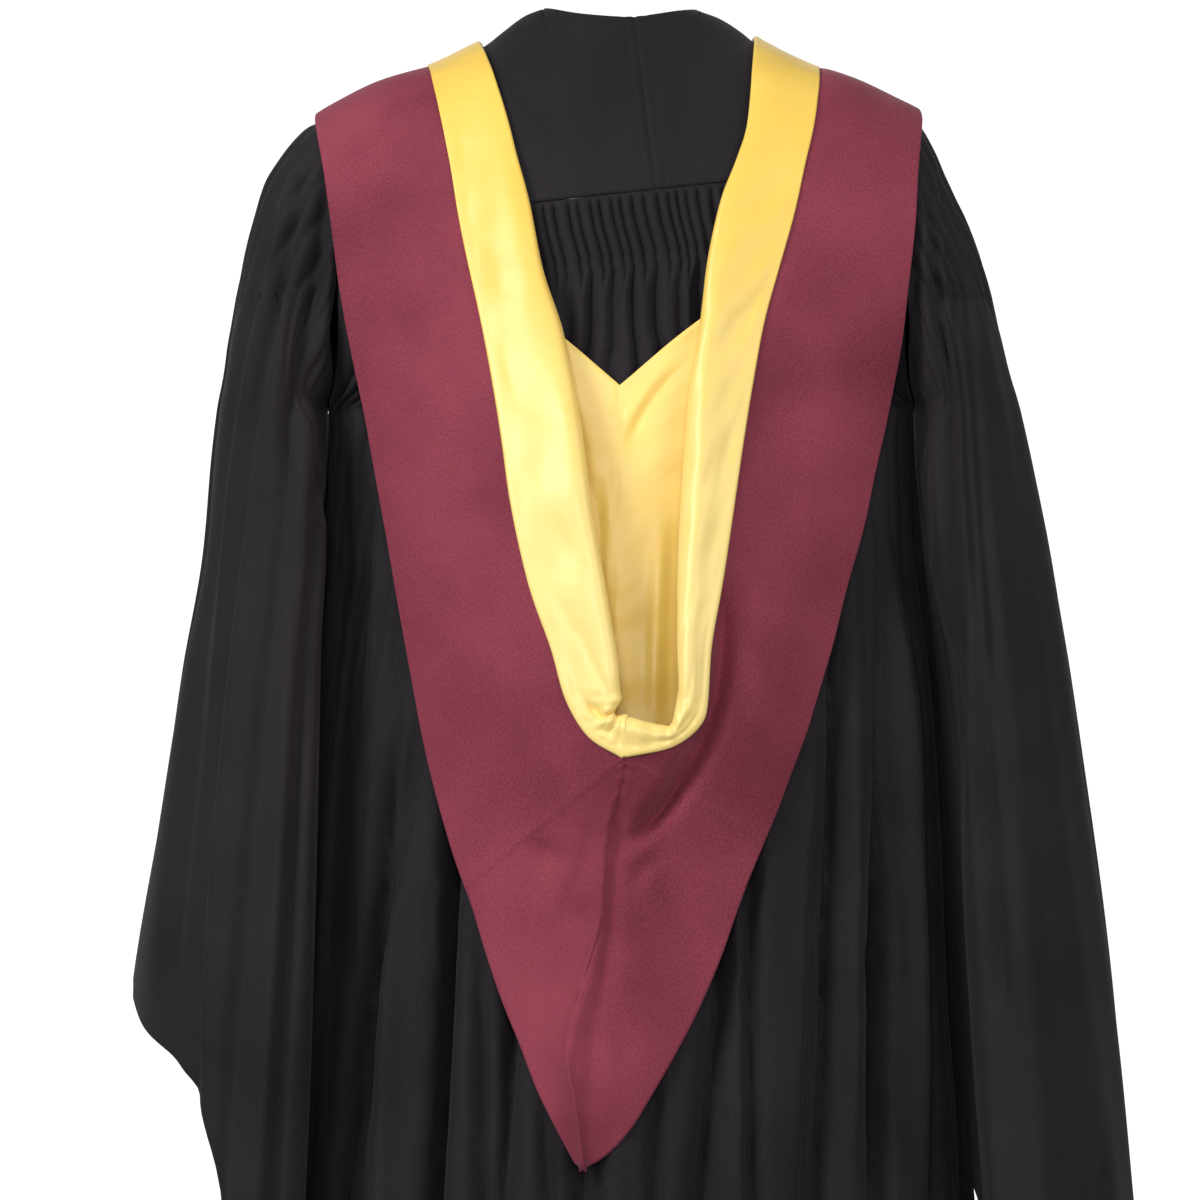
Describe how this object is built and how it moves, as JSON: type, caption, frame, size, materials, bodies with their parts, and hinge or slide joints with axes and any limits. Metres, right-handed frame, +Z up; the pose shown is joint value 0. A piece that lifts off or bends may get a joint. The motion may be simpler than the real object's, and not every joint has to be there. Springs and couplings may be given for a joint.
{
  "type": "graduation gown with academic hood",
  "caption": "Graduation gown as worn, open at the front, with fluted back, bell sleeves and a two-colour academic hood that hangs down the back.",
  "frame": {"origin": "middle of the neck opening at the height of the nape, where the wearer's neck and shoulders hold the gown", "axes": "+Z up towards the wearer's head, +Y out of the wearer's back, +X towards the wearer's left"},
  "size_m": [0.7856, 0.3957, 1.2337],
  "materials": {
    "gown_cloth": "matt black worsted",
    "hood_cloth": "matt maroon twill",
    "hood_satin": "yellow satin with a soft sheen"
  },
  "bodies": {
    "root": {"back": "gown_cloth", "front_left": "gown_cloth", "front_right": "gown_cloth", "yoke_left": "gown_cloth", "yoke_right": "gown_cloth", "sleeve_left": "gown_cloth", "sleeve_right": "gown_cloth", "hood_left": "hood_cloth", "hood_right": "hood_cloth", "hood_neckband": "hood_cloth", "hood_border_left": "hood_satin", "hood_border_right": "hood_satin", "hood_lining": "hood_satin"}
  },
  "joints": []
}
